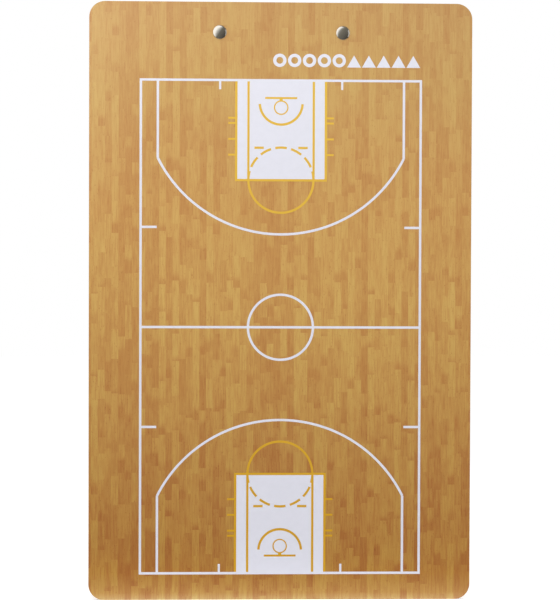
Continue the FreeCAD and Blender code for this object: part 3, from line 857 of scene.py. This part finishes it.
@dataclass
class PlayerMarks:
    """A row of plain rings and triangles above the court, for two sides of five, in millimetres."""

    first: float = -0.9
    last: float = 77.4
    level: float = 316.2
    count: int = 5
    size: float = 7.8
    line: float = 1.9
    triangle: float = 4.7
    film: float = 0.03
    ring_step: float = 7.5

    def build(self) -> None:
        """Print the row on the full-court face."""
        ink = Ink(Side.FULL_COURT, self.film, arc_step=self.ring_step)
        step = (self.last - self.first) / (2 * self.count - 1)
        for i in range(2 * self.count):
            across = self.first + step * i
            if i < self.count:
                ink.band(self.level, (self.size - self.line) / 2, self.line, across=across)
            else:
                self.wedge(ink, across)
        ink.press("player_marks_white_ink", WHITE_INK)

    def wedge(self, ink: Ink, across: float) -> None:
        """Print one solid triangle that stands on a side.

        Args:
            ink: The ink to print with.
            across: The place of its middle across the board.
        """
        low = self.size / 2 - self.triangle / 2
        middle = Vector((across, -ink.face - self.film / 2, self.level - low))
        bmesh.ops.create_cone(
            ink.mesh,
            cap_ends=True,
            segments=3,
            radius1=self.triangle * MM,
            radius2=self.triangle * MM,
            depth=self.film * MM,
            matrix=Matrix.Translation(middle * MM) @ Matrix.Rotation(math.radians(90.0), 4, "X"),
        )


@dataclass
class PrintedBoard:
    """The hardboard core, its two films and what is printed on them, in millimetres."""

    full_baseline: float = 15.7
    half_baseline: float = 58.0
    half_scale: float = 1.2

    def build(self) -> None:
        """Dress the board's solids and print both courts."""
        for name, finish in (
            ("board_core", HARDBOARD),
            ("full_court_film", FILM),
            ("half_court_film", FILM),
        ):
            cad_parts[name].material_slots[0].material = finish.material()
        CourtPrint("full_court", Side.FULL_COURT, self.full_baseline).build()
        PlayerMarks().build()
        CourtPrint(
            "half_court", Side.HALF_COURT, self.half_baseline, self.half_scale, whole=False
        ).build()


@dataclass
class Rivets:
    """The two semi-tubular rivets that hold the clip, in millimetres."""

    face: float = BOARD_FACE
    base_sheet: float = 1.0
    pitch: float = 72.0
    level: float = 332.4
    head: float = 4.05
    head_height: float = 1.9
    head_edge: float = 0.35
    edge_round: float = 0.18
    shank: float = 2.0
    roll: float = 3.1
    bore: float = 1.1
    bore_depth: float = 2.6
    steps: int = 72
    arc_steps: int = 14
    merge: float = 0.0001
    same_level: float = 0.001

    def turn(self, name: str, across: float) -> None:
        """Turn one rivet from its profile.

        Args:
            name: The solid that it stands for.
            across: The place of its axis across the board.
        """
        mesh = bmesh.new()
        axis = Vector((across, 0.0, self.level))
        rise = self.head_height - self.head_edge
        dome = (self.head ** 2 + rise ** 2) / (2 * rise)
        grip = self.face + self.base_sheet
        pole = mesh.verts.new((axis + Vector((0.0, -self.face - self.head_height, 0.0))) * MM)
        middle = axis + Vector((0.0, dome - self.face - self.head_height, 0.0))
        tip = self.swing(mesh, pole, middle, math.asin(self.head / dome))
        for r, out in (
            (self.head, -self.face),
            (self.shank, -self.face),
            (self.shank, grip),
            (self.roll, grip),
        ):
            tip = self.step(mesh, tip, axis + Vector((r, out, 0.0)))
        tip = self.swing(mesh, tip, axis + Vector(((self.roll + self.bore) / 2, grip, 0.0)), math.pi)
        floor = grip - self.bore_depth
        tip = self.step(mesh, tip, axis + Vector((self.bore, floor, 0.0)))
        self.step(mesh, tip, axis + Vector((0.0, floor - self.bore, 0.0)))
        bmesh.ops.spin(
            mesh,
            geom=[*mesh.verts, *mesh.edges],
            cent=axis * MM,
            axis=(0.0, 1.0, 0.0),
            angle=2 * math.pi,
            steps=self.steps,
            use_merge=True,
        )
        bmesh.ops.remove_doubles(mesh, verts=mesh.verts, dist=self.merge * MM)
        rim, near = -(self.face + self.head_edge) * MM, self.same_level * MM
        bmesh.ops.bevel(
            mesh,
            geom=[e for e in mesh.edges if all(abs(v.co.y - rim) < near for v in e.verts)],
            offset=self.edge_round * MM,
            affect="EDGES",
            segments=3,
            profile=0.5,
            material=-1,
        )
        bmesh.ops.recalc_face_normals(mesh, faces=mesh.faces)
        made = piece(f"{name}_turned", mesh, NICKEL)
        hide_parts(name)
        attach(made, Body.BOARD.value)

    def swing(self, mesh: BMesh, start: BMVert, middle: Vector, angle: float) -> BMVert:
        """Draw an arc of the profile.

        Args:
            mesh: The mesh that gets it.
            start: Where the arc begins.
            middle: The arc's centre in millimetres.
            angle: How far it turns about Z, in radians.

        Returns:
            The arc's last point.
        """
        drawn = bmesh.ops.spin(
            mesh,
            geom=[start],
            cent=middle * MM,
            axis=(0.0, 0.0, 1.0),
            angle=angle,
            steps=self.arc_steps,
        )
        return next(g for g in drawn["geom_last"] if isinstance(g, BMVert))

    @staticmethod
    def step(mesh: BMesh, start: BMVert, place: Vector) -> BMVert:
        """Draw a straight line of the profile.

        Args:
            mesh: The mesh that gets it.
            start: Where the line begins.
            place: Where it ends, in millimetres.

        Returns:
            The line's last point.
        """
        end = mesh.verts.new(place * MM)
        mesh.edges.new((start, end))
        return end

    def build(self) -> None:
        """Turn both rivets."""
        self.turn("rivet_left", -self.pitch / 2)
        self.turn("rivet_right", self.pitch / 2)


@dataclass
class Clip:
    """The riveted clip: base plate, lever, pin and rubber grips, in millimetres and degrees."""

    merge: float = 0.001
    flat: float = 0.3
    sharp: float = 50.0
    edge: float = 0.12

    def copy(self, node: str, finish: Finish, slot: str, body: Body) -> None:
        """Stand a merged copy of a solid in for it, with its sharp edges broken as after plating.

        Args:
            node: The solid's name.
            finish: The copy's material.
            slot: The record's material slot. It is not used.
            body: The body that it rides on.
        """
        mesh = bmesh.new()
        mesh.from_mesh(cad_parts[node].data)
        bmesh.ops.remove_doubles(mesh, verts=mesh.verts, dist=self.merge * MM)
        bmesh.ops.dissolve_limit(
            mesh, angle_limit=math.radians(self.flat), verts=mesh.verts, edges=mesh.edges
        )
        limit = math.radians(self.sharp)
        bmesh.ops.bevel(
            mesh,
            geom=[e for e in mesh.edges if len(e.link_faces) == 2 and e.calc_face_angle() > limit],
            offset=self.edge * MM,
            affect="EDGES",
            segments=2,
            profile=0.5,
            material=-1,
            clamp_overlap=True,
        )
        made = piece(f"{node}_looks", mesh, finish)
        made.modifiers.new("even flats", "WEIGHTED_NORMAL").keep_sharp = True
        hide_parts(node)
        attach(made, body.value)

    def build(self) -> None:
        """Make every piece of the clip."""
        for node in ("hinge_pin", "clip_base_plate"):
            self.copy(node, NICKEL, "nickel_plate", Body.BOARD)
        self.copy("clip_lever", NICKEL, "nickel_plate", Body.LEVER)
        for node in ("jaw_grip_left", "jaw_grip_right"):
            self.copy(node, RUBBER, "grip_rubber", Body.LEVER)


@dataclass
class TorsionSprings:
    """The two wound springs on the clip's pin, in millimetres and degrees."""

    pin_out: float = 8.95
    pin_up: float = 321.4
    pin_height: float = 7.2
    base_sheet: float = 1.0
    crown: float = 4.3
    thumb_rise: float = 8.0
    coil_radius: float = 2.45
    wire: float = 1.2
    bearing: float = 0.1
    pitch: float = 1.75
    inset: float = 13.5
    leg: float = 13.0
    turns: int = 7
    wire_sides: int = 14
    wire_smooth: float = 60.0
    steps_per_turn: int = 40

    def leg_angle(self, height: float) -> float:
        """Work out how a leg leans so that its tip is at a height beside the pin.

        Args:
            height: How far the tip is from the pin's axis, across the leg.

        Returns:
            The angle in radians.
        """
        lean = math.hypot(self.coil_radius, self.pitch / (2 * math.pi))
        flat = self.leg * self.coil_radius / lean
        tip = math.asin(height / math.hypot(self.coil_radius, flat))
        return tip - math.atan2(self.coil_radius, flat)

    def wind(self, name: str, hand: int) -> None:
        """Wind one spring between the plate and the lever.

        Args:
            name: The solid that it stands for.
            hand: Minus one for the left spring and one for the right.
        """
        # Angles go from straight up the board, through the clip's outside, round to the base plate.
        outside, plate = 0.5 * math.pi, 1.5 * math.pi
        rest = self.wire / 2 + self.bearing
        first = plate - self.leg_angle(self.pin_height - self.base_sheet - rest)
        last = outside + math.radians(self.thumb_rise) + self.leg_angle(self.crown - rest)
        turn = first - last + 2 * math.pi * self.turns
        climb = hand * self.pitch / (2 * math.pi)
        pin = Vector((0.0, self.pin_out, self.pin_up))
        r = self.coil_radius
        start = pin + Vector((hand * self.inset, r * math.sin(first), r * math.cos(first)))
        along = Vector((climb, -r * math.cos(first), r * math.sin(first))).normalized()
        mesh = bmesh.new()
        facing = along.to_track_quat("Z", "Y").to_matrix().to_4x4()
        ring = bmesh.ops.create_circle(
            mesh,
            cap_ends=True,
            segments=self.wire_sides,
            radius=self.wire / 2 * MM,
            matrix=Matrix.Translation((start - along * self.leg) * MM) @ facing,
        )
        end = self.push(mesh, [ring["verts"][0].link_faces[0]], along * self.leg)
        steps = round(turn / (2 * math.pi) * self.steps_per_turn)
        spun = bmesh.ops.spin(
            mesh,
            geom=end,
            cent=pin * MM,
            axis=(1.0, 0.0, 0.0),
            dvec=(climb * turn / steps * MM, 0.0, 0.0),
            angle=turn,
            steps=steps,
        )
        tip = [g for g in spun["geom_last"] if isinstance(g, BMFace)]
        onward = Matrix.Rotation(turn, 3, "X") @ along
        self.push(mesh, tip, onward * self.leg)
        # The two ends that were drawn on are left inside the wire.
        inside = [f for f in mesh.faces if all(len(e.link_faces) > 2 for e in f.edges)]
        bmesh.ops.delete(mesh, geom=inside, context="FACES_ONLY")
        bmesh.ops.recalc_face_normals(mesh, faces=mesh.faces)
        made = piece(f"{name}_wire", mesh, WIRE, self.wire_smooth)
        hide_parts(name)
        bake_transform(made)

    @staticmethod
    def push(mesh: BMesh, faces: list[BMFace], move: Vector) -> list[BMFace]:
        """Extrude an end of the wire.

        Args:
            mesh: The wire.
            faces: The end that is drawn out.
            move: How far and which way, in millimetres.

        Returns:
            The new end, as a list of its one face.
        """
        drawn = bmesh.ops.extrude_face_region(mesh, geom=faces)["geom"]
        corners = [g for g in drawn if isinstance(g, BMVert)]
        bmesh.ops.translate(mesh, vec=move * MM, verts=corners)
        return [g for g in drawn if isinstance(g, BMFace)]

    def build(self) -> None:
        """Wind both springs."""
        self.wind("torsion_spring_left", -1)
        self.wind("torsion_spring_right", 1)


@dataclass(frozen=True)
class Softbox:
    """A lamp behind white cloth that mirrors don't show, in metres and watts."""

    name: str
    place: Place
    aim: Place
    size: Pair
    power: float

    def build(self) -> None:
        """Hang the softbox, facing its aim."""
        data = bpy.data.lights.new(self.name, "AREA")
        data.shape = "RECTANGLE"
        data.size, data.size_y = self.size
        data.energy = self.power
        seat = bpy.data.objects.new(self.name, data)
        facing = (Vector(self.aim) - Vector(self.place)).to_track_quat("-Z", "Y")
        seat.matrix_world = Matrix.Translation(self.place) @ facing.to_matrix().to_4x4()
        seat.visible_glossy = False
        bpy.context.scene.collection.objects.link(seat)


@dataclass(frozen=True)
class Card:
    """A glowing card beside the board, out of the camera's sight, in metres.

    It goes from its corner along two edges. It lights matt surfaces and isn't mirrored, or the other way
    round.
    """

    finish: GlowingCard
    corner: Place
    along: Place
    up: Place
    lights: bool = False

    def build(self) -> None:
        """Stand the card in its place."""
        along, up = Vector(self.along), Vector(self.up)
        spread = Matrix((along, up, along.cross(up).normalized())).transposed().to_4x4()
        mesh = bmesh.new()
        mesh.loops.layers.uv.new("card")
        bmesh.ops.create_grid(
            mesh,
            x_segments=1,
            y_segments=1,
            size=0.5,
            matrix=Matrix.Translation((0.5, 0.5, 0.0)),
            calc_uvs=True,
        )
        bmesh.ops.transform(mesh, matrix=Matrix.Translation(self.corner) @ spread, verts=mesh.verts)
        made = set_down(self.finish.name.replace(" ", "_"), mesh, self.finish)
        made.visible_camera = made.visible_shadow = made.visible_transmission = False
        made.visible_diffuse, made.visible_glossy = self.lights, not self.lights


@dataclass
class Studio:
    """The white studio, its lamps and the camera, in metres and degrees."""

    distance: float = 1.2
    yaw: float = 2.25
    pitch: float = 1.12
    roll: float = 0.2
    aim: Place = (-0.0003, -0.00175, 0.17609)
    focal_pixels: float = 2048.4
    sensor: float = 36.0
    floor: float = 3.0
    ambient: float = 0.757
    # What mirrors see: tones in front of the board along a slope, and behind it from floor to ceiling.
    front_slope: Place = (-0.82, 0.0, 0.57)
    front_tones: Tones = ((0.06, "#5C5A56"), (0.3, "#7A7772"), (0.5, "#828079"), (0.7, "#949089"))
    back_tones: Tones = (
        (0.15, "#8E8C88"),
        (0.32, "#BDBBB7"),
        (0.47, WHITE),
        (0.68, "#F2F1EF"),
        (0.95, "#A5A4A2"),
    )
    back_start: Pair = (-0.15, 0.05)
    softboxes: tuple[Softbox, ...] = (
        Softbox("key_softbox", (-0.115, -0.4, 0.612), (-0.025, 0.0, 0.26), (0.2, 0.11), 1.2),
        Softbox("back_softbox", (0.3, 0.45, 0.6), (0.0, 0.0, 0.26), (0.4, 0.3), 1.2),
    )
    cards: tuple[Card, ...] = (
        Card(
            GlowingCard("upper left card", 1.7, soft=0.24, start=0.2),
            corner=(-0.211, -0.1, 0.089),
            along=(0.342, 0.0, 0.492),
            up=(-0.369, 0.1, 0.257),
        ),
        Card(
            GlowingCard("right card", 0.9),
            corner=(0.45, -0.17, 0.1),
            along=(0.0, 0.22, 0.0),
            up=(0.0, 0.0, 0.5),
        ),
        Card(
            GlowingCard("back floor card", 1.0, soft=0.35, start=0.3),
            corner=(0.1, 0.03, 0.0001),
            along=(0.0, 0.9, 0.0),
            up=(-0.6, 0.0, 0.0),
        ),
        Card(
            GlowingCard("foot card", 1.0),
            corner=(-0.3, -0.04175, 0.0001),
            along=(0.6, 0.0, 0.0),
            up=(0.0, 0.04, 0.0),
        ),
        Card(
            GlowingCard("ledge card", 1.7),
            corner=(-0.3, -0.01475, 0.0002),
            along=(0.6, 0.0, 0.0),
            up=(0.0, 0.013, 0.0),
            lights=True,
        ),
    )

    def camera(self) -> None:
        """Set the camera where the photograph was taken from."""
        yaw, pitch, roll = (math.radians(a) for a in (self.yaw, self.pitch, self.roll))
        ahead = math.cos(pitch)
        forward = Vector((math.sin(yaw) * ahead, math.cos(yaw) * ahead, -math.sin(pitch)))
        right = Vector((math.cos(yaw), -math.sin(yaw), 0.0))
        up = right.cross(forward)
        level = right * math.cos(roll) + up * math.sin(roll)
        upright = up * math.cos(roll) - right * math.sin(roll)
        data = bpy.data.cameras.new("camera")
        data.sensor_width = self.sensor
        data.lens = self.focal_pixels * self.sensor / PHOTO_HEIGHT
        seat = bpy.data.objects.new("camera", data)
        turn = Matrix((level, upright, -forward)).transposed().to_4x4()
        seat.matrix_world = Matrix.Translation(Vector(self.aim) - forward * self.distance) @ turn
        bpy.context.scene.collection.objects.link(seat)
        bpy.context.scene.camera = seat

    def backdrop(self) -> None:
        """Make the world: white to the eye, dim in front of the board and plain soft light on it."""
        world = bpy.data.worlds.new("studio")
        bpy.context.scene.world = world
        world.use_nodes = True
        tree = world.node_tree
        tree.nodes.clear()
        rays = add(tree, "ShaderNodeLightPath")
        mirrored = add(
            tree,
            "ShaderNodeMath",
            {0: rays.outputs["Is Glossy Ray"], 1: rays.outputs["Is Transmission Ray"]},
            operation="MAXIMUM",
        )
        outward = add(tree, "ShaderNodeTexCoord").outputs["Generated"]
        way = add(tree, "ShaderNodeSeparateXYZ", {0: outward})
        slope = add(
            tree, "ShaderNodeVectorMath", {0: outward, 1: self.front_slope}, operation="DOT_PRODUCT"
        )
        front, back = (
            add(
                tree,
                "ShaderNodeValToRGB",
                {0: add(tree, "ShaderNodeMapRange", {0: rise}, span=(-1.0, 1.0))},
                tones,
            )
            for rise, tones in (
                (slope.outputs["Value"], self.front_tones),
                (way.outputs["Z"], self.back_tones),
            )
        )
        behind = add(tree, "ShaderNodeMapRange", {0: way.outputs["Y"]}, span=self.back_start)
        room = add(
            tree, "ShaderNodeMix", {"Factor": behind, 6: front, 7: back}, data_type="RGBA"
        ).outputs[2]
        plain = (self.ambient, self.ambient, self.ambient, 1.0)
        lit = add(
            tree, "ShaderNodeMix", {"Factor": mirrored, 6: plain, 7: room}, data_type="RGBA"
        ).outputs[2]
        eye = rays.outputs["Is Camera Ray"]
        seen = add(
            tree, "ShaderNodeMix", {"Factor": eye, 6: lit, 7: linear(WHITE)}, data_type="RGBA"
        ).outputs[2]
        sky = add(tree, "ShaderNodeBackground", {"Color": seen, "Strength": 1.0})
        add(tree, "ShaderNodeOutputWorld", {"Surface": sky})

    def paper(self) -> None:
        """Lay the white paper that the board stands on."""
        mesh = bmesh.new()
        bmesh.ops.create_grid(mesh, x_segments=1, y_segments=1, size=self.floor)
        sheet = set_down("floor", mesh, PAPER)
        sheet.visible_glossy = False

    def build(self) -> None:
        """Set up the whole studio."""
        bpy.context.scene.view_settings.view_transform = "Standard"
        self.camera()
        self.backdrop()
        self.paper()
        for item in (*self.softboxes, *self.cards):
            item.build()


def main() -> None:
    """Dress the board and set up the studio."""
    logging.basicConfig(level=logging.INFO)
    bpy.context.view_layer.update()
    for part in (PrintedBoard(), Rivets(), Clip(), TorsionSprings(), Studio()):
        log.info("building %s", type(part).__name__)
        part.build()


if __name__ == "__main__":
    main()
